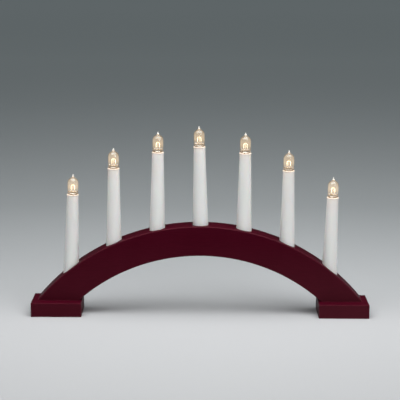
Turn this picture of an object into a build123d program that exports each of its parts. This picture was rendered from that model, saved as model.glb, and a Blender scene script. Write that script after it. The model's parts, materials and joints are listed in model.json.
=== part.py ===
from build123d import *
import math
import os

# Driving dimensions, in millimetres and degrees.
# The origin is under the middle of the object, on the table. +X is to the right, +Y to the back.

# Feet
overall_width = 430.0
foot_width = 64.0
foot_depth = 48.0
foot_height = 18.0
foot_edge_radius = 1.0

# Wooden arch: a flat band between two concentric arcs, standing on the feet
arch_apex_height = 115.4
arch_end_inset = 7.5
arch_band = 38.0
arch_thickness = 30.0
arch_setback = 14.5
arch_edge_chamfer = 0.7

# Candles: each stands in a flat-floored seat, with its own depth and slight lean towards +X
candle_end_inset = 49.4
candle_leans = (1.8, 0.0, 0.4, -1.2, 0.3, 0.2, 1.0)
seat_depths = (1.6, 4.3, 3.6, 4.1, 4.1, 5.8, 3.5)
candle_height = 104.5
tube_base_diameter = 20.0
tube_wall = 0.9
seat_clearance = 0.75
wire_hole_diameter = 10.0

# Lamp holder, pushed into the top of the tube
collar_overhang = 0.4
collar_thickness = 1.4
collar_edge_radius = 0.5
holder_wall = 0.7
holder_clearance = 0.15
holder_length = 20.0
socket_depth = 13.0
shell_wall = 0.6
shell_top_drop = 1.6
fit_clearance = 0.05
socket_contact_diameter = 5.2
socket_contact_thickness = 0.6
rivet_diameter = 1.8
rivet_length = 3.0

# Screw thread of the lamp and its holder
thread_pitch = 1.814
thread_mean_diameter = 9.02
thread_amplitude = 0.25
thread_clearance = 0.12
thread_sections_per_turn = 12

# Lamp
glass_diameter = 13.6
glass_wall = 0.6
glass_height = 25.9
glass_tip_height = 4.0
glass_tip_radius = 0.5
glass_tip_start = 74.0
glass_base_lift = 0.4
glass_base_rounding = 1.2
glass_neck_length = 4.0
glass_neck_clearance = 0.15
stem_height = 3.0
cap_wall = 0.5
cap_flange_inset = 0.4
cap_flange_gap = 0.2
insulator_thickness = 0.8
solder_height = 0.4
solder_diameter = 2.6
contact_gap = 0.2
filament_spread = 4.4
filament_top = 12.3
filament_diameter = 0.5
lead_end_gap = 0.5

# Wire channel in the underside of the arch, and its cover strip
channel_width = 10.0
channel_depth = 10.0
end_slot_height = 6.0
cover_width = 22.0
cover_thickness = 2.0
cover_clearance = 0.1
cover_screw_count = 7
cover_screw_end_gap = 24.0

# Wires
wire_diameter = 1.6
wire_offset = 2.6
wire_bend_radius = 2.4
wire_sharp_turn = 30.0
series_wire_entry = 12.0
wire_pocket_depth = 3.0
feed_wire_shift = 2.6
feed_wire_entry = 8.0
feed_wire_run = 26.0
splice_diameter = 3.0
splice_length = 9.0
splice_gap = 8.0

# Cord inlet on the arch's back face
inlet_end_inset = 75.0
inlet_depth_in_band = 7.5
bush_bore = 6.4
bush_wall = 1.2
bush_flange_diameter = 11.6
bush_flange_thickness = 1.5

# Screws: head diameter, shank diameter, length
foot_screw_head = 8.0
foot_screw_shank = 4.0
foot_screw_length = 34.0
foot_screw_recess = 1.0
foot_screw_inset = 34.0
foot_screw_spacing = 16.0
cover_screw_head = 4.0
cover_screw_shank = 2.0
cover_screw_length = 12.0
cover_screw_recess = 0.2

# Values that follow from the driving dimensions
candle_count = len(candle_leans)
candle_spacing = (overall_width - 2 * candle_end_inset) / (candle_count - 1)
arch_front = -foot_depth / 2 + arch_setback
arch_back = arch_front + arch_thickness
arch_middle = (arch_front + arch_back) / 2
half_span = overall_width / 2 - arch_end_inset
arch_rise = arch_apex_height - foot_height
outer_radius = (half_span ** 2 + arch_rise ** 2) / (2 * arch_rise)
inner_radius = outer_radius - arch_band
arc_centre_z = arch_apex_height - outer_radius
inner_end_angle = math.acos((foot_height - arc_centre_z) / inner_radius)
inlet_x = inlet_end_inset - overall_width / 2
channel_roof_radius = inner_radius + channel_depth
rabbet_radius = inner_radius + cover_thickness + cover_clearance
wire_radius_on_arc = (channel_roof_radius + rabbet_radius) / 2
seat_radius = tube_base_diameter / 2 + seat_clearance
thread_mean_radius = thread_mean_diameter / 2
shell_thread_radius = thread_mean_radius + thread_clearance
shell_outer_radius = shell_thread_radius + thread_amplitude + shell_wall
socket_radius = shell_outer_radius + fit_clearance
holder_radius = socket_radius + holder_wall
tube_top_radius = holder_radius + holder_clearance + tube_wall
collar_radius = tube_top_radius + collar_overhang
wire_pocket_radius = wire_diameter / 2 + fit_clearance

# Levels of the lamp, measured along the candle from the collar's top face
socket_contact_top = -socket_depth + socket_contact_thickness
solder_bottom = socket_contact_top + contact_gap
insulator_bottom = solder_bottom + solder_height
insulator_top = insulator_bottom + insulator_thickness
cap_bottom = insulator_top + fit_clearance
cap_flange_bottom = -shell_top_drop + cap_flange_gap
cap_bore_radius = thread_mean_radius - thread_amplitude - cap_wall
glass_neck_radius = cap_bore_radius - glass_neck_clearance
glass_neck_end = glass_base_lift - glass_neck_length
glass_dome_top = glass_height - glass_tip_height
stem_top = glass_base_lift + stem_height


def arc_height(radius, x):
    """Height of an arc of the arch above the table at a distance from the middle."""
    return arc_centre_z + math.sqrt(radius ** 2 - x ** 2)


def spun(curves):
    """Solid of revolution about +Z from closed curves drawn as (radius, height)."""
    return revolve(Plane.XZ * make_face(curves), Axis.Z)


def turned(points):
    """Solid of revolution about +Z from an outline of (radius, height) points."""
    return spun(Polyline(*points, close=True))


def arc_band(low_radius, high_radius, width, lowest):
    """Part of a flat ring, centred in the arch's thickness, above a lowest level."""
    back_plane = Plane(origin=(0, arch_middle + width / 2, 0), x_dir=(1, 0, 0), z_dir=(0, -1, 0))
    ring = Pos(0, arc_centre_z) * (Circle(high_radius) - Circle(low_radius))
    window_height = arc_centre_z + high_radius - lowest
    window = Pos(0, lowest + window_height) * Rectangle(4 * high_radius, 2 * window_height)
    return extrude(back_plane * (ring & window), amount=width)


# Stations: where each candle stands and how it leans


def station_x(index):
    """Distance of a candle from the middle."""
    return (index - (candle_count - 1) / 2) * candle_spacing


def seat_floor(index):
    """Height of a seat's floor: below the arch's top at the tube's downhill side."""
    downhill = abs(station_x(index)) + tube_base_diameter / 2
    return arc_height(outer_radius, downhill) - seat_depths[index]


def seat_frame(index):
    """Frame on a seat's floor, with +Z along the candle."""
    return Location((station_x(index), arch_middle, seat_floor(index)), (0, candle_leans[index], 0))


def rim_frame(index):
    """Frame on the top face of a candle's collar, with +Z along the candle."""
    return seat_frame(index) * Location((0, 0, candle_height))


# Screws


def screw_profile(head, shank, length, grow):
    """Outline of a countersunk screw that points along +Z, grown all round for its hole."""
    head_radius = head / 2 + grow
    shank_radius = shank / 2 + grow
    cone = (head - shank) / 2
    tip = shank
    return [
        (0, 0),
        (head_radius, 0),
        (shank_radius, cone),
        (shank_radius, length - tip + grow),
        (0, length + grow),
    ]


def screw(head, shank, length):
    """Countersunk screw with a cross recess, head at the origin and pointing along +Z."""
    body = turned(screw_profile(head, shank, length, 0))
    slot_depth = (head - shank) / 4
    slot = Box(head * 0.6, head * 0.12, 2 * slot_depth)
    return body - slot - Rot(0, 0, 90) * slot


def screw_hole(head, shank, length):
    """Hole that fits a countersunk screw, open below its head."""
    hole = turned(screw_profile(head, shank, length, fit_clearance))
    entry = Pos(0, 0, -head / 2) * Cylinder(head / 2 + fit_clearance, head)
    return hole + entry


def foot_screw_places():
    """Screws up through each foot into the end of the arch."""
    x = overall_width / 2 - foot_screw_inset
    half = foot_screw_spacing / 2
    return [
        Location((side * x, arch_middle + shift, foot_screw_recess))
        for side in (-1, 1)
        for shift in (-half, half)
    ]


def cover_screw_places():
    """Screws through the cover strip, on its two edges by turns, pointing away from the arc's centre."""
    ledge = (cover_width + channel_width) / 4
    last_angle = math.degrees(inner_end_angle - cover_screw_end_gap / inner_radius)
    places = []
    for index in range(cover_screw_count):
        angle = last_angle * (2 * index / (cover_screw_count - 1) - 1)
        side = 1 if index % 2 else -1
        arc_frame = Location((0, arch_middle + side * ledge, arc_centre_z), (0, angle, 0))
        places.append(arc_frame * Location((0, 0, inner_radius + cover_screw_recess)))
    return places


# Wooden pieces


def foot(side):
    """Foot block with two screw holes from beneath."""
    centre_x = side * (overall_width - foot_width) / 2
    block = Pos(centre_x, 0, foot_height / 2) * Box(foot_width, foot_depth, foot_height)
    rounded = block.edges().filter_by(Axis.Z) + block.faces().sort_by(Axis.Z)[-1].edges()
    block = fillet(rounded, foot_edge_radius)
    for place in foot_screw_places():
        if place.position.X * side > 0:
            block -= place * screw_hole(foot_screw_head, foot_screw_shank, foot_screw_length)
    return block


def wire_hole(index):
    """Hole from a seat's floor down to the wire channel."""
    drop = seat_floor(index) - arc_height(wire_radius_on_arc, station_x(index))
    return seat_frame(index) * Pos(0, 0, -drop / 2) * Cylinder(wire_hole_diameter / 2, drop)


def end_slot(side):
    """Slot in the arch's end face, from the last wire hole to the channel, closed below by the foot."""
    outer_x = station_x(candle_count - 1) + wire_hole_diameter / 2
    inner_x = inner_radius * math.sin(inner_end_angle)
    middle = Pos(side * (outer_x + inner_x) / 2, arch_middle, foot_height)
    return middle * Box(outer_x - inner_x, channel_width, 2 * end_slot_height)


def inlet_frame():
    """Frame of the cord inlet on the arch's back face, with +Z pointing backwards."""
    z = arc_height(inner_radius + inlet_depth_in_band, inlet_x)
    return Location(Plane(origin=(inlet_x, arch_back, z), x_dir=(1, 0, 0), z_dir=(0, 1, 0)))


def arch():
    """Arch with its seats, wire holes, wire channel, cover rabbet, screw holes and cord inlet."""
    ring = arc_band(inner_radius, outer_radius, arch_thickness, arc_centre_z - outer_radius - arch_band)
    broken = [edge for edge in ring.edges() if edge.geom_type == GeomType.CIRCLE]
    ring = chamfer(broken, arch_edge_chamfer)
    band = split(ring, bisect_by=Plane.XY.offset(foot_height), keep=Keep.TOP)
    below = foot_height - cover_clearance
    band -= arc_band(inner_radius - 1, channel_roof_radius, channel_width, below)
    band -= arc_band(inner_radius - 1, rabbet_radius, cover_width + 2 * cover_clearance, below)
    for index in range(candle_count):
        band -= seat_frame(index) * Pos(0, 0, arch_band / 2) * Cylinder(seat_radius, arch_band)
        band -= wire_hole(index)
    for side in (-1, 1):
        band -= end_slot(side)
    for place in foot_screw_places():
        band -= place * screw_hole(foot_screw_head, foot_screw_shank, foot_screw_length)
    for place in cover_screw_places():
        band -= place * screw_hole(cover_screw_head, cover_screw_shank, cover_screw_length)
    inlet_length = arch_thickness / 2
    inlet_radius = bush_bore / 2 + bush_wall + fit_clearance
    band -= inlet_frame() * Pos(0, 0, -inlet_length / 2) * Cylinder(inlet_radius, inlet_length)
    return band


def channel_cover():
    """Strip that closes the wire channel, flush with the underside of the arch."""
    strip = arc_band(inner_radius, inner_radius + cover_thickness, cover_width, foot_height + cover_clearance)
    for place in cover_screw_places():
        strip -= place * screw_hole(cover_screw_head, cover_screw_shank, cover_screw_length)
    return strip


def cord_bush():
    """Flanged bush for the cord, from the arch's back face to the wire channel."""
    sleeve_length = (arch_thickness - channel_width) / 2
    bore = bush_bore / 2
    outside = bore + bush_wall
    flange = bush_flange_diameter / 2
    outline = [
        (bore, -sleeve_length),
        (outside, -sleeve_length),
        (outside, 0),
        (flange, 0),
        (flange, bush_flange_thickness),
        (bore, bush_flange_thickness),
    ]
    return inlet_frame() * turned(outline)


# Candle tube and lamp holder


def candle_tube(index):
    """Tapered tube, open at both ends, standing on its seat's floor."""
    base = tube_base_diameter / 2
    top = tube_top_radius
    height = candle_height - collar_thickness
    outline = [(base - tube_wall, 0), (base, 0), (top, height), (top - tube_wall, height)]
    return seat_frame(index) * turned(outline)


def thread_core(mean_radius, low, high):
    """Solid with a rounded single-start thread: circles whose centres follow a helix."""
    count = math.ceil((high - low) / thread_pitch * thread_sections_per_turn)
    sections = []
    for step in range(count + 1):
        z = low + (high - low) * step / count
        angle = 2 * math.pi * z / thread_pitch
        centre = (thread_amplitude * math.cos(angle), thread_amplitude * math.sin(angle), z)
        sections.append(Pos(*centre) * Circle(mean_radius))
    return loft(sections)


def lamp_holder(index):
    """Holder with a collar on the tube's rim, a socket for the shell and pockets for two wires."""
    collar = Pos(0, 0, -collar_thickness / 2) * Cylinder(collar_radius, collar_thickness)
    collar = fillet(collar.edges(), collar_edge_radius)
    stem_length = holder_length - collar_thickness
    stem = Pos(0, 0, -collar_thickness - stem_length / 2) * Cylinder(holder_radius, stem_length)
    bore = Pos(0, 0, -socket_depth / 2) * Cylinder(socket_radius, socket_depth)
    rivet = Pos(0, 0, -socket_depth - rivet_length / 2)
    rivet_hole = rivet * Cylinder(rivet_diameter / 2 + fit_clearance, rivet_length)
    body = collar + stem - bore - rivet_hole
    for side in (-1, 1):
        pocket = Pos(side * wire_offset, 0, -holder_length + wire_pocket_depth / 2)
        body -= pocket * Cylinder(wire_pocket_radius, wire_pocket_depth)
    return rim_frame(index) * body


def socket_shell(index):
    """Threaded sleeve in the lamp holder."""
    length = socket_depth - shell_top_drop
    sleeve = Pos(0, 0, -socket_depth + length / 2) * Cylinder(shell_outer_radius, length)
    thread = thread_core(shell_thread_radius, -socket_depth - thread_pitch, -shell_top_drop + thread_pitch)
    return rim_frame(index) * (sleeve - thread)


def socket_contact(index):
    """Centre contact on the socket's floor, with its rivet."""
    disc = socket_contact_diameter / 2
    rivet = rivet_diameter / 2
    rivet_end = -socket_depth - rivet_length
    outline = [
        (0, rivet_end),
        (rivet, rivet_end),
        (rivet, -socket_depth),
        (disc, -socket_depth),
        (disc, socket_contact_top),
        (0, socket_contact_top),
    ]
    return rim_frame(index) * turned(outline)


# Lamp


def bulb_side(radius, bottom, dome_top, dome_turn):
    """Curves of a glass wall, as (radius, height): rounded foot, straight side and part of the dome."""
    shoulder = dome_top - radius
    foot_centre = (radius - glass_base_rounding, bottom + glass_base_rounding)
    foot = CenterArc(foot_centre, glass_base_rounding, -90, 90)
    side = Line(foot @ 1, (radius, shoulder))
    dome = CenterArc((0, shoulder), radius, 0, dome_turn)
    return [foot, side, dome]


def glass_outside():
    """Outside of the envelope, from the neck's end to the point of the exhaust tip."""
    wall = bulb_side(glass_diameter / 2, glass_base_lift, glass_dome_top, glass_tip_start)
    root = wall[-1] @ 1
    tip_end = (glass_tip_radius, glass_height - glass_tip_radius)
    waist = (0.4 * root.X + 0.6 * glass_tip_radius, 0.5 * (root.Y + tip_end[1]))
    flank = ThreePointArc(root, waist, tip_end)
    point = CenterArc((0, tip_end[1]), glass_tip_radius, 0, 90)
    neck_foot = (glass_neck_radius, glass_neck_end)
    neck_top = (glass_neck_radius, glass_base_lift)
    below = Polyline(point @ 1, (0, glass_neck_end), neck_foot, neck_top, wall[0] @ 0)
    return spun(wall + [flank, point, below])


def glass_inside():
    """Hollow of the envelope, above the stem that seals the leads."""
    wall = bulb_side(glass_diameter / 2 - glass_wall, stem_top, glass_dome_top - glass_wall, 90)
    return spun(wall + [Polyline(wall[-1] @ 1, (0, stem_top), wall[0] @ 0)])


def bulb_glass(index):
    """Glass envelope with its exhaust tip, neck and a stem that seals the two leads."""
    envelope = glass_outside() - glass_inside()
    lead_radius = filament_diameter / 2 + fit_clearance
    lead_length = stem_top - glass_neck_end + 2 * glass_wall
    for side in (-1, 1):
        lead = Pos(side * filament_spread / 2, 0, (stem_top + glass_neck_end) / 2)
        envelope -= lead * Cylinder(lead_radius, lead_length)
    return rim_frame(index) * envelope


def bulb_cap(index):
    """Threaded cap with a flange that stops on the shell, bored for the glass neck and the leads."""
    thread = thread_core(thread_mean_radius, cap_bottom, cap_flange_bottom)
    flange_height = glass_base_lift - fit_clearance - cap_flange_bottom
    flange_radius = shell_outer_radius - cap_flange_inset
    flange = Pos(0, 0, cap_flange_bottom + flange_height / 2) * Cylinder(flange_radius, flange_height)
    bore_length = 2 * (glass_base_lift - cap_bottom)
    bore = Pos(0, 0, cap_bottom) * Cylinder(cap_bore_radius, bore_length)
    return rim_frame(index) * (thread + flange - bore)


def bulb_contact(index):
    """Insulator disc under the cap, with the solder point that meets the socket's contact."""
    disc = thread_mean_radius - thread_amplitude - fit_clearance
    solder = solder_diameter / 2
    outline = [
        (0, solder_bottom),
        (solder * 0.6, solder_bottom),
        (solder, insulator_bottom),
        (disc * 0.75, insulator_bottom),
        (disc, insulator_top),
        (0, insulator_top),
    ]
    return rim_frame(index) * turned(outline)


def bulb_filament(index):
    """Filament on its two leads: one wire bent into an upright hoop."""
    half = filament_spread / 2
    bottom = cap_bottom + lead_end_gap
    shoulder = filament_top - half
    left = Line((-half, 0, bottom), (-half, 0, shoulder))
    top = ThreePointArc((-half, 0, shoulder), (0, 0, filament_top), (half, 0, shoulder))
    right = Line((half, 0, shoulder), (half, 0, bottom))
    section = Plane(origin=(-half, 0, bottom), z_dir=(0, 0, 1)) * Circle(filament_diameter / 2)
    return rim_frame(index) * sweep(section, path=Wire([left, top, right]))


# Wires


def terminal(index, side):
    """End of a wire, inside its pocket under a lamp holder."""
    inside = Location((side * wire_offset, 0, -holder_length + wire_pocket_depth - fit_clearance))
    return (rim_frame(index) * inside).position


def channel_point(x, shift, lift):
    """Point in the wire channel, clear of the foot by at least the given lift."""
    lowest = foot_height + wire_diameter / 2 + lift
    return Vector(x, arch_middle + shift, max(arc_height(wire_radius_on_arc, x), lowest))


def wire_along(points, radii):
    """Round wire along straight runs joined by tangent arcs."""
    path = FilletPolyline(*points, radius=radii)
    section = Plane(origin=points[0], z_dir=points[1] - points[0]) * Circle(wire_diameter / 2)
    return sweep(section, path=path)


def bend_limit(before, corner, after):
    """Largest bend radius that fits in 0.45 of the shorter run beside a corner."""
    turn = math.radians((corner - before).get_angle(after - corner))
    shorter = min((corner - before).length, (after - corner).length)
    return 0.45 * shorter / math.tan(turn / 2)


def routed_wire(points):
    """Wire through points, bent as gently as the channel allows."""
    radii = []
    for before, corner, after in zip(points, points[1:], points[2:]):
        sharp = (corner - before).get_angle(after - corner) > wire_sharp_turn
        limit = bend_limit(before, corner, after)
        radii.append(min(limit, wire_bend_radius) if sharp else limit)
    return wire_along(points, radii)


def series_wire(index):
    """Wire from one lamp holder, along the channel, to the next."""
    start = station_x(index) + wire_offset
    end = station_x(index + 1) - wire_offset
    lift = 2 * wire_diameter
    points = [
        terminal(index, 1),
        channel_point(start, 0, lift),
        channel_point(start + series_wire_entry, 0, lift),
        channel_point((start + end) / 2, 0, lift),
        channel_point(end - series_wire_entry, 0, lift),
        channel_point(end, 0, lift),
        terminal(index + 1, -1),
    ]
    return routed_wire(points)


def feed_points(side):
    """Route from an end lamp holder, along its own lane of the channel, to beside the cord inlet."""
    index = 0 if side < 0 else candle_count - 1
    lift = wire_diameter / 2
    outside = station_x(index) + side * wire_offset
    first = station_x(index) - side * feed_wire_entry
    last = inlet_x + side * splice_gap
    run_count = math.ceil(abs(last - first) / feed_wire_run)
    points = [terminal(index, side), channel_point(outside, 0, lift)]
    for step in range(run_count + 1):
        x = first + (last - first) * step / run_count
        points.append(channel_point(x, feed_wire_shift, lift))
    return points


def splice(side):
    """Crimp sleeve on the end of a feed wire."""
    points = feed_points(side)
    frame = Location(Plane(origin=points[-1], z_dir=points[-1] - points[-2]))
    sleeve = Cylinder(splice_diameter / 2, splice_length)
    bore = Cylinder(wire_diameter / 2 + fit_clearance, splice_length)
    return frame * (sleeve - bore)


# Nodes

nodes = {
    "arch": arch(),
    "foot_left": foot(-1),
    "foot_right": foot(1),
    "channel_cover": channel_cover(),
    "cord_bush": cord_bush(),
}

for station in range(candle_count):
    number = station + 1
    nodes[f"candle_tube_{number}"] = candle_tube(station)
    nodes[f"lamp_holder_{number}"] = lamp_holder(station)
    nodes[f"socket_shell_{number}"] = socket_shell(station)
    nodes[f"bulb_glass_{number}"] = bulb_glass(station)
    nodes[f"bulb_cap_{number}"] = bulb_cap(station)
    nodes[f"bulb_contact_{number}"] = bulb_contact(station)
    nodes[f"bulb_filament_{number}"] = bulb_filament(station)

foot_screw = screw(foot_screw_head, foot_screw_shank, foot_screw_length)
cover_screw = screw(cover_screw_head, cover_screw_shank, cover_screw_length)
nodes["foot_screws"] = Compound([place * foot_screw for place in foot_screw_places()])
nodes["cover_screws"] = Compound([place * cover_screw for place in cover_screw_places()])
nodes["socket_contacts"] = Compound([socket_contact(station) for station in range(candle_count)])
nodes["series_wires"] = Compound([series_wire(station) for station in range(candle_count - 1)])
nodes["feed_wires"] = Compound([routed_wire(feed_points(side)) for side in (-1, 1)])
nodes["lead_splices"] = Compound([splice(side) for side in (-1, 1)])

os.makedirs("parts", exist_ok=True)
for name, shape in nodes.items():
    export_step(shape, f"parts/{name}.step")
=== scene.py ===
import json
import math

import bmesh
import bpy
from mathutils import Matrix, Quaternion, Vector


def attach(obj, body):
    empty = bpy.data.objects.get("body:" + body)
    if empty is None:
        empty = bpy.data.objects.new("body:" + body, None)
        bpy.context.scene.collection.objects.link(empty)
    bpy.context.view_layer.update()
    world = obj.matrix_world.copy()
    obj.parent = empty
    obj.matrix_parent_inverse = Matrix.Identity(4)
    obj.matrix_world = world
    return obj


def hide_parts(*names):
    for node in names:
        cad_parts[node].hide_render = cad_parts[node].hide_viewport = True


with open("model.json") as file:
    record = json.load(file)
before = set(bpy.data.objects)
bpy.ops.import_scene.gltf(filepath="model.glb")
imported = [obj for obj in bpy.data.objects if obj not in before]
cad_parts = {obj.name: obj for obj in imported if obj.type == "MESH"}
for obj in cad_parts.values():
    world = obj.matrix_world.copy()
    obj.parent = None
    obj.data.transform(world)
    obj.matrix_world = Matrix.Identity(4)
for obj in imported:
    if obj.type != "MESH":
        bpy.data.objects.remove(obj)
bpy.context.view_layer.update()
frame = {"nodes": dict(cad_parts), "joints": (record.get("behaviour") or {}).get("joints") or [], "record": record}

# Units and directions
MM = 0.001
UP = Vector((0, 0, 1))
DOWN = Vector((0, 0, -1))
BACK = Vector((0, 1, 0))

# Camera: a long lens from the front, a little above the arch, with angles in degrees
PICTURE_PIXELS = 400
FOCAL_PIXELS = 1312.5
SENSOR_MM = 36.0
CAMERA_DISTANCE = 1.660
CAMERA_ELEVATION = 11.79
CAMERA_YAW = -0.17
CAMERA_ROLL = 0.383
LOOK_AT = Vector((-0.001, 0.0, 0.148))

# Lamp filament, in millimetres, with heights above the collar
LEAD_SPREAD = 4.4
LEAD_BOTTOM = -9.0
LEAD_RADIUS = 0.2
LEAD_SIDES = 8
COIL_BOTTOM = 3.9
COIL_TOP = 12.3
COIL_RADIUS = 0.3
COIL_PITCH = 0.42
COIL_STEPS_PER_TURN = 10
COIL_WIRE_RADIUS = 0.08
COIL_WIRE_SIDES = 5
SUPPORT_BOTTOM = 2.0
SUPPORT_RADIUS = 0.1
SUPPORT_SIDES = 6
HOOK_NECK_DROP = 1.2
HOOK_SHOULDER_DROP = 0.4
HOOK_END_DROP = 0.5
HOOK_HALF_DEPTH = 0.45
HOOK_TOP_HALF_DEPTH = 0.3

# Floor: half its width, and where its painted shade starts and ends from front to back
FLOOR_REACH = 30.0
FLOOR_SHADE_FRONT = -0.6
FLOOR_SHADE_BACK = 6.4

# Even light: the world, and a broad sun from straight above with its spread in degrees
WORLD_LEVEL = 0.056
WORLD_TINT = (0.874, 0.97, 1.0, 1.0)
ROOM_LIGHT = 0.32
ROOM_LIGHT_SPREAD = 50.0
ROOM_LIGHT_TINT = (0.90, 0.99, 1.0)

# Range that noise values mostly lie in
NOISE_RANGE = (0.3, 0.7)

# How well a rounded normal agrees with the true one: on a flat face, and on a sharp edge
FACE_TO_EDGE = (0.99, 0.85)
EDGE_SAMPLES = 4

# Places of the colour sockets on a mix node
MIX_FACTOR = 0
MIX_COLOURS = (6, 7)
MIX_RESULT = 2


def socket_name(word):
    """Name of a node's socket from a plain word, such as Base Color from base_color."""
    return word.replace("_", " ").title().replace("Ior", "IOR")


class Graph:
    """Node material with one Principled shader and short ways to add nodes to it."""

    def __init__(self, name):
        self.material = bpy.data.materials.new(name)
        self.material.use_nodes = True
        self.tree = self.material.node_tree
        self.shader = self.tree.nodes["Principled BSDF"]

    def node(self, kind, **values):
        """Adds a node and sets its properties, or its inputs where the value's name is an input's."""
        made = self.tree.nodes.new("ShaderNode" + kind)
        for name, value in values.items():
            label = socket_name(name)
            if label in made.inputs:
                made.inputs[label].default_value = value
            else:
                setattr(made, name, value)
        return made

    def link(self, output, target):
        """Joins an output socket to an input socket."""
        self.tree.links.new(output, target)

    def set(self, **values):
        """Sets constants on the shader's own sockets."""
        for name, value in values.items():
            self.shader.inputs[socket_name(name)].default_value = value

    def feed(self, **outputs):
        """Joins output sockets to the shader's own sockets."""
        for name, output in outputs.items():
            self.link(output, self.shader.inputs[socket_name(name)])

    def coordinates(self, kind, scale=(1, 1, 1)):
        """Stretched object or generated coordinates."""
        source = self.node("TexCoord")
        mapping = self.node("Mapping", scale=scale)
        self.link(source.outputs[kind], mapping.inputs["Vector"])
        return mapping.outputs["Vector"]

    def axes(self, vector):
        """X, Y and Z of a vector."""
        made = self.node("SeparateXYZ")
        self.link(vector, made.inputs[0])
        return made.outputs

    def noise(self, vector, scale, detail=3.0, roughness=0.5):
        """Noise value from 0 to 1."""
        made = self.node("TexNoise", scale=scale, detail=detail, roughness=roughness)
        self.link(vector, made.inputs["Vector"])
        return made.outputs["Fac"]

    def ramp(self, value, stops):
        """Colour ramp through (position, colour) stops."""
        made = self.node("ValToRGB")
        elements = made.color_ramp.elements
        while len(elements) < len(stops):
            elements.new(0.5)
        for element, (position, colour) in zip(elements, stops):
            element.position = position
            element.color = (*colour, 1.0)
        self.link(value, made.inputs["Fac"])
        return made.outputs["Color"]

    def mix(self, factor, *colours):
        """Mixes two colours, each of them a socket or a constant."""
        made = self.node("Mix", data_type="RGBA")
        self.link(factor, made.inputs[MIX_FACTOR])
        for place, colour in zip(MIX_COLOURS, colours):
            if isinstance(colour, bpy.types.NodeSocket):
                self.link(colour, made.inputs[place])
            else:
                made.inputs[place].default_value = (*colour, 1.0)
        return made.outputs[MIX_RESULT]

    def remap(self, value, old, new):
        """Value moved from an old range to a new one, clamped."""
        made = self.node("MapRange", from_min=old[0], from_max=old[1], to_min=new[0], to_max=new[1])
        self.link(value, made.inputs["Value"])
        return made.outputs["Result"]

    def spread(self, noise, low=0.0, high=1.0):
        """Noise stretched so that it runs from low to high."""
        return self.remap(noise, NOISE_RANGE, (low, high))

    def times(self, first, second):
        """Product of two values."""
        made = self.node("Math", operation="MULTIPLY")
        self.link(first, made.inputs[0])
        self.link(second, made.inputs[1])
        return made.outputs["Value"]

    def bump(self, height, distance, strength, below=None):
        """Surface relief, on top of an earlier one where given, linked to the shader."""
        made = self.node("Bump", distance=distance, strength=strength)
        self.link(height, made.inputs["Height"])
        if below is not None:
            self.link(below, made.inputs["Normal"])
        self.feed(normal=made.outputs["Normal"])
        return made.outputs["Normal"]

    def edges(self, radius):
        """Mask that is 1 on sharp edges: how far a rounded normal turns from the true one."""
        rounded = self.node("Bevel", radius=radius, samples=EDGE_SAMPLES)
        surface = self.node("NewGeometry")
        agreement = self.node("VectorMath", operation="DOT_PRODUCT")
        self.link(rounded.outputs["Normal"], agreement.inputs[0])
        self.link(surface.outputs["Normal"], agreement.inputs[1])
        return self.remap(agreement.outputs["Value"], FACE_TO_EDGE, (0.0, 1.0))


# Materials


def painted_wood(name, shade):
    """Wine-red paint over long-grained wood, with edges rubbed thin that also carry a painted edge highlight, and
    painted light that makes upright faces lighter low down and towards the right.
    """
    dark = [shade * c for c in (0.040, 0.0008, 0.0058)]
    light = [shade * c for c in (0.051, 0.0014, 0.0080)]
    faded = [shade * c for c in (0.062, 0.0026, 0.0108)]
    painted_light_colour = (0.11, 0.034, 0.040)
    edge_wear_and_highlight_colour = (0.135, 0.03, 0.043)
    edge_width = 0.0016
    painted_light_height = 0.10
    painted_light_most = 0.21
    half_span = 0.2

    graph = Graph(name)
    space = graph.coordinates("Object")
    place = graph.axes(space)
    facing = graph.axes(graph.node("NewGeometry").outputs["Normal"])
    along_grain = graph.coordinates("Object", scale=(5, 70, 70))
    grain = graph.noise(along_grain, scale=14.0, detail=6.0, roughness=0.62)
    cloud = graph.noise(space, scale=16.0, detail=2.0)
    speckle = graph.noise(space, scale=1900.0, detail=2.0)

    body = graph.mix(graph.remap(grain, (0.35, 0.68), (0.0, 1.0)), dark, light)
    clouded = graph.mix(graph.spread(cloud, 0.0, 0.25), body, faded)
    # Painted light: upright faces lighter low down and towards the right, top faces left nearly out
    low = graph.remap(place["Z"], (0.0, painted_light_height), (painted_light_most, 0.0))
    rightward = graph.remap(place["X"], (-half_span, half_span), (0.5, 1.0))
    upright = graph.remap(facing["Z"], (0.2, 0.9), (1.0, 0.1))
    painted_light = graph.times(graph.times(low, rightward), upright)
    with_painted_light = graph.mix(painted_light, clouded, painted_light_colour)
    # Lighter edges: partly paint rubbed thin, partly a painted edge highlight
    wear_and_highlight = graph.times(graph.edges(edge_width), graph.remap(grain, (0.4, 0.6), (0.45, 1.0)))
    worn_and_highlit = graph.mix(wear_and_highlight, with_painted_light, edge_wear_and_highlight_colour)

    graph.feed(base_color=worn_and_highlit, roughness=graph.spread(cloud, 0.34, 0.46))
    graph.set(specular_ior_level=0.03)
    relief = graph.bump(grain, distance=0.0004, strength=0.22)
    graph.bump(speckle, distance=0.00006, strength=0.35, below=relief)
    return graph.material


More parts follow.
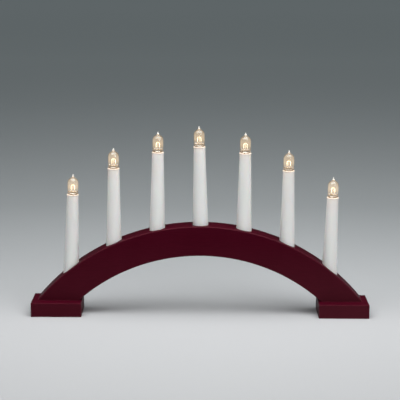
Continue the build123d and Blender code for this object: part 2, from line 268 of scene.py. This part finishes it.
def candle_plastic(name):
    """White moulded plastic, darker towards its foot, that the lamp's light warms at the top."""
    dark = (0.735, 0.72, 0.705)
    light = (0.785, 0.765, 0.745)
    foot_colour = (0.62, 0.58, 0.55)

    graph = Graph(name)
    height = graph.axes(graph.coordinates("Generated"))["Z"]
    cloud = graph.noise(graph.coordinates("Object", scale=(1, 1, 0.25)), scale=60.0)
    ripple = graph.noise(graph.coordinates("Object", scale=(1, 1, 0.08)), scale=420.0, detail=2.0)
    body = graph.mix(graph.spread(cloud), dark, light)
    # Darker and warmer towards the foot of the tube
    darker_at_foot = graph.mix(graph.remap(height, (0.06, 0.0), (0.0, 0.35)), body, foot_colour)
    glow = graph.ramp(height, [
        (0.0, (0.0, 0.0, 0.0)),
        (0.72, (0.004, 0.003, 0.001)),
        (0.93, (0.030, 0.016, 0.005)),
        (1.0, (0.085, 0.042, 0.014)),
    ])
    graph.feed(base_color=darker_at_foot, emission_color=glow, roughness=graph.spread(cloud, 0.30, 0.40))
    graph.set(emission_strength=1.0, subsurface_weight=0.12, subsurface_scale=0.004)
    graph.bump(ripple, distance=0.00008, strength=0.3)
    return graph.material


def holder_plastic(name):
    """Ivory moulded plastic of the lamp holder, its collar lit by the lamp."""
    dark = (0.72, 0.65, 0.59)
    light = (0.77, 0.70, 0.64)

    graph = Graph(name)
    height = graph.axes(graph.coordinates("Generated"))["Z"]
    cloud = graph.noise(graph.coordinates("Object"), scale=500.0)
    glow = graph.ramp(height, [
        (0.0, (0.0, 0.0, 0.0)),
        (0.93, (0.02, 0.012, 0.006)),
        (1.0, (0.48, 0.35, 0.24)),
    ])
    graph.feed(base_color=graph.mix(graph.spread(cloud), dark, light), emission_color=glow)
    graph.set(emission_strength=1.0, roughness=0.36)
    graph.bump(cloud, distance=0.00005, strength=0.3)
    return graph.material


def clear_glass(name):
    """Thin clear lamp glass, faintly filled by the filament's warm light, with a painted white highlight at its
    tip.
    """
    graph = Graph(name)
    height = graph.axes(graph.coordinates("Generated"))["Z"]
    swirl = graph.noise(graph.coordinates("Object", scale=(1, 1, 0.3)), scale=240.0, detail=2.0)
    # Painted glow of the filament's light, with a painted white highlight at the tip from 0.88 up
    glow = graph.ramp(height, [
        (0.10, (0.05, 0.032, 0.016)),
        (0.28, (0.04, 0.026, 0.013)),
        (0.45, (0.11, 0.073, 0.037)),
        (0.80, (0.076, 0.055, 0.034)),
        (0.88, (0.10, 0.085, 0.064)),
        (1.0, (0.28, 0.275, 0.26)),
    ])
    graph.feed(emission_color=glow)
    graph.set(
        base_color=(1.0, 0.985, 0.95, 1.0),
        emission_strength=1.0,
        transmission_weight=1.0,
        roughness=0.0,
        ior=1.47,
    )
    graph.bump(swirl, distance=0.0001, strength=0.12)
    return graph.material


def hot_filament(name):
    """Glowing tungsten coil, hottest in the upper part of its hoop."""
    graph = Graph(name)
    height = graph.axes(graph.coordinates("Generated"))["Z"]
    heat = graph.ramp(height, [
        (0.0, (0.03, 0.01, 0.002)),
        (0.60, (0.06, 0.026, 0.008)),
        (0.66, (0.30, 0.18, 0.08)),
        (0.72, (1.0, 0.84, 0.58)),
        (0.92, (1.0, 0.88, 0.66)),
        (1.0, (0.50, 0.36, 0.20)),
    ])
    graph.feed(emission_color=heat)
    graph.set(base_color=(0.3, 0.28, 0.26, 1.0), emission_strength=3.4, roughness=0.4, metallic=1.0)
    return graph.material


def metal(name, dark, light, roughness, scale):
    """Drawn or rolled metal with fine streaks round it."""
    graph = Graph(name)
    streak = graph.noise(graph.coordinates("Object", scale=(1, 1, 6)), scale, detail=4.0)
    cloud = graph.noise(graph.coordinates("Object"), scale / 8, detail=2.0)
    graph.feed(
        base_color=graph.mix(graph.spread(streak), dark, light),
        roughness=graph.spread(cloud, roughness * 0.8, roughness * 1.25),
    )
    graph.set(metallic=1.0)
    graph.bump(streak, distance=0.00003, strength=0.25)
    return graph.material


def plain_polymer(name, dark, light, roughness, scale):
    """Rubber, insulation or glassy insulator with a fine mottled surface."""
    graph = Graph(name)
    mottle = graph.noise(graph.coordinates("Object"), scale, detail=4.0)
    graph.feed(
        base_color=graph.mix(graph.spread(mottle), dark, light),
        roughness=graph.spread(mottle, roughness * 0.85, roughness * 1.15),
    )
    graph.bump(mottle, distance=0.00005, strength=0.3)
    return graph.material


slot_materials = {
    "painted_wood": painted_wood("painted_wood", shade=1.0),
    "painted_strip": painted_wood("painted_strip", shade=0.85),
    "candle_plastic": candle_plastic("candle_plastic"),
    "holder_plastic": holder_plastic("holder_plastic"),
    "clear_glass": clear_glass("clear_glass"),
    "filament_wire": hot_filament("filament_wire"),
    "cap_brass": metal(
        "cap_brass", dark=(0.50, 0.33, 0.12), light=(0.66, 0.47, 0.20), roughness=0.28, scale=900.0,
    ),
    "contact_brass": metal(
        "contact_brass", dark=(0.46, 0.30, 0.11), light=(0.60, 0.42, 0.18), roughness=0.34, scale=900.0,
    ),
    "insulator_black": plain_polymer(
        "insulator_black", dark=(0.008, 0.008, 0.010), light=(0.02, 0.02, 0.024), roughness=0.25, scale=700.0,
    ),
    "wire_insulation": plain_polymer(
        "wire_insulation", dark=(0.60, 0.57, 0.48), light=(0.68, 0.65, 0.56), roughness=0.5, scale=500.0,
    ),
    "splice_tin": metal(
        "splice_tin", dark=(0.50, 0.50, 0.50), light=(0.62, 0.62, 0.61), roughness=0.35, scale=800.0,
    ),
    "screw_steel": metal(
        "screw_steel", dark=(0.42, 0.41, 0.37), light=(0.56, 0.54, 0.48), roughness=0.36, scale=700.0,
    ),
    "bush_rubber": plain_polymer(
        "bush_rubber", dark=(0.012, 0.011, 0.012), light=(0.025, 0.023, 0.024), roughness=0.7, scale=600.0,
    ),
}

for subpart in frame["record"]["subparts"]:
    mesh = frame["nodes"][subpart["node"]].data
    mesh.materials.clear()
    mesh.materials.append(slot_materials[subpart["material_slot"]])


# Lamp filaments: a coil on two leads, with a hooked support


def add_tube(mesh, points, radius, sides):
    """Adds a closed round tube through points to a bmesh."""
    rings = []
    side_way = None
    for index, point in enumerate(points):
        ahead = points[min(index + 1, len(points) - 1)] - points[max(index - 1, 0)]
        ahead.normalize()
        if side_way is None:
            side_way = ahead.orthogonal()
        side_way = (side_way - ahead * side_way.dot(ahead)).normalized()
        up_way = ahead.cross(side_way)
        ring = []
        for side in range(sides):
            angle = 2 * math.pi * side / sides
            offset = side_way * math.cos(angle) + up_way * math.sin(angle)
            ring.append(mesh.verts.new(point + offset * radius))
        rings.append(ring)
    for ring, after in zip(rings, rings[1:]):
        for side in range(sides):
            other = (side + 1) % sides
            mesh.faces.new((ring[side], ring[other], after[other], after[side]))
    mesh.faces.new(list(reversed(rings[0])))
    mesh.faces.new(rings[-1])


def hoop_point(distance):
    """Point and direction on the filament's hoop, at a distance along it from its left foot."""
    half = LEAD_SPREAD / 2
    leg = COIL_TOP - half - COIL_BOTTOM
    arc = math.pi * half
    if distance < leg:
        return Vector((-half, 0, COIL_BOTTOM + distance)), UP
    if distance < leg + arc:
        angle = math.pi - (distance - leg) / half
        place = Vector((half * math.cos(angle), 0, COIL_BOTTOM + leg + half * math.sin(angle)))
        return place, Vector((math.sin(angle), 0, -math.cos(angle)))
    return Vector((half, 0, COIL_BOTTOM + leg - (distance - leg - arc))), DOWN


def coil_points():
    """Points of the coil that winds round the hoop."""
    half = LEAD_SPREAD / 2
    length = 2 * (COIL_TOP - half - COIL_BOTTOM) + math.pi * half
    steps = round(length / COIL_PITCH * COIL_STEPS_PER_TURN)
    points = []
    for step in range(steps + 1):
        centre, ahead = hoop_point(length * step / steps)
        angle = 2 * math.pi * step / COIL_STEPS_PER_TURN
        outward = BACK.cross(ahead) * math.cos(angle) + BACK * math.sin(angle)
        points.append(centre + COIL_RADIUS * outward)
    return points


def support_points():
    """Points of the wire that stands between the leads and hooks over the coil's top."""
    top = COIL_TOP + COIL_RADIUS + 2 * SUPPORT_RADIUS
    return [
        Vector((0, 0, SUPPORT_BOTTOM)),
        Vector((0, 0, top - HOOK_NECK_DROP)),
        Vector((0, HOOK_HALF_DEPTH, top - HOOK_SHOULDER_DROP)),
        Vector((0, HOOK_TOP_HALF_DEPTH, top)),
        Vector((0, -HOOK_TOP_HALF_DEPTH, top)),
        Vector((0, -HOOK_HALF_DEPTH, top - HOOK_END_DROP)),
    ]


def filament_mesh():
    """Filament assembly, in millimetres above the collar."""
    mesh = bmesh.new()
    add_tube(mesh, coil_points(), COIL_WIRE_RADIUS, COIL_WIRE_SIDES)
    for x in (-LEAD_SPREAD / 2, LEAD_SPREAD / 2):
        lead = [Vector((x, 0, z)) for z in (LEAD_BOTTOM, 0, COIL_BOTTOM + COIL_PITCH)]
        add_tube(mesh, lead, LEAD_RADIUS, LEAD_SIDES)
    add_tube(mesh, support_points(), SUPPORT_RADIUS, SUPPORT_SIDES)
    bmesh.ops.recalc_face_normals(mesh, faces=mesh.faces)
    return mesh


turn_joints = {joint["child"]: joint for joint in frame["joints"] if joint["type"] == "hinge"}


def collar_frame(number):
    """Frame on a candle's collar, with +Z along the candle, from its lamp's hinge."""
    joint = turn_joints[f"bulb_{number}"]
    turn = UP.rotation_difference(Vector(joint["axis"]))
    return Matrix.Translation(joint["pos_m"]) @ turn.to_matrix().to_4x4()


for number in range(1, len(turn_joints) + 1):
    shape = filament_mesh()
    shape.transform(collar_frame(number) @ Matrix.Scale(MM, 4))
    data = bpy.data.meshes.new(f"filament_{number}")
    shape.to_mesh(data)
    shape.free()
    data.polygons.foreach_set("use_smooth", [True] * len(data.polygons))
    data.materials.append(slot_materials["filament_wire"])
    filament = bpy.data.objects.new(f"filament_{number}", data)
    bpy.context.collection.objects.link(filament)
    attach(filament, f"bulb_{number}")
    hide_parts(f"bulb_filament_{number}")


# Floor: one large pale sheet


def floor_material():
    """Pale studio paper with painted shade graded from front to back, and a painted shadow band just behind the
    object.
    """
    fibre_colour = (0.40, 0.40, 0.41)

    graph = Graph("studio_floor")
    space = graph.coordinates("Object")
    depth = graph.remap(graph.axes(space)["Y"], (FLOOR_SHADE_FRONT, FLOOR_SHADE_BACK), (0.0, 1.0))
    # Painted shade: darker towards the front, lighter at the object, a painted shadow band behind it, then lighter
    # far back to offset the lamps' falloff
    painted_shade = graph.ramp(depth, [
        (0.0, (0.34, 0.344, 0.35)),
        (0.08, (0.47, 0.475, 0.485)),
        (0.10, (0.42, 0.43, 0.44)),
        (0.18, (0.385, 0.405, 0.415)),
        (0.33, (0.535, 0.57, 0.585)),
        (0.55, (0.69, 0.735, 0.75)),
        (1.0, (0.78, 0.83, 0.85)),
    ])
    fibre = graph.noise(space, scale=700.0)
    graph.feed(base_color=graph.mix(graph.spread(fibre, 0.0, 0.05), painted_shade, fibre_colour))
    graph.set(roughness=0.9, specular_ior_level=0.1)
    return graph.material


floor_corners = [(x * FLOOR_REACH, y * FLOOR_REACH, 0) for x, y in ((-1, -1), (1, -1), (1, 1), (-1, 1))]
floor_mesh = bpy.data.meshes.new("studio_floor")
floor_mesh.from_pydata(floor_corners, [], [(0, 1, 2, 3)])
floor_mesh.materials.append(floor_material())
floor = bpy.data.objects.new("studio_floor", floor_mesh)
bpy.context.collection.objects.link(floor)


# Light: two softboxes overhead, one at the right front, a broad sun from above and a weak even world


def softbox(name, place, target, size, power):
    """Oblong area lamp that faces a target, its long side level."""
    lamp = bpy.data.lights.new(name, "AREA")
    lamp.shape = "RECTANGLE"
    lamp.size, lamp.size_y = size
    lamp.energy = power
    holder = bpy.data.objects.new(name, lamp)
    holder.location = place
    holder.rotation_euler = (Vector(target) - Vector(place)).to_track_quat("-Z", "Y").to_euler()
    bpy.context.collection.objects.link(holder)


softbox("overhead_softbox", place=(0.03, -0.22, 0.88), target=(0.02, -0.08, 0.0), size=(1.3, 0.5), power=6.4)
softbox("ceiling_softbox", place=(0.0, -0.30, 1.05), target=(0.0, -0.05, 0.0), size=(2.0, 1.5), power=14.0)
softbox("right_softbox", place=(2.4, -2.85, 1.45), target=(0.0, 0.0, 0.1), size=(1.2, 1.2), power=32.6)

room = bpy.data.lights.new("room_light", "SUN")
room.energy = ROOM_LIGHT
room.color = ROOM_LIGHT_TINT
room.angle = math.radians(ROOM_LIGHT_SPREAD)
bpy.context.collection.objects.link(bpy.data.objects.new("room_light", room))

world = bpy.data.worlds.new("studio")
world.use_nodes = True
background = world.node_tree.nodes["Background"]
background.inputs["Color"].default_value = WORLD_TINT
background.inputs["Strength"].default_value = WORLD_LEVEL
bpy.context.scene.world = world

# Camera, turned about its own axis by the roll

elevation = math.radians(CAMERA_ELEVATION)
yaw = math.radians(CAMERA_YAW)
backwards = Vector((
    math.sin(yaw) * math.cos(elevation),
    -math.cos(yaw) * math.cos(elevation),
    math.sin(elevation),
))
lens = bpy.data.cameras.new("camera")
lens.sensor_width = SENSOR_MM
lens.lens = FOCAL_PIXELS / PICTURE_PIXELS * SENSOR_MM
camera = bpy.data.objects.new("camera", lens)
camera.location = LOOK_AT + CAMERA_DISTANCE * backwards
aim = (-backwards).to_track_quat("-Z", "Y")
camera.rotation_mode = "QUATERNION"
camera.rotation_quaternion = aim @ Quaternion(UP, math.radians(CAMERA_ROLL))
bpy.context.collection.objects.link(camera)
bpy.context.scene.camera = camera
bpy.context.scene.view_settings.view_transform = "Standard"
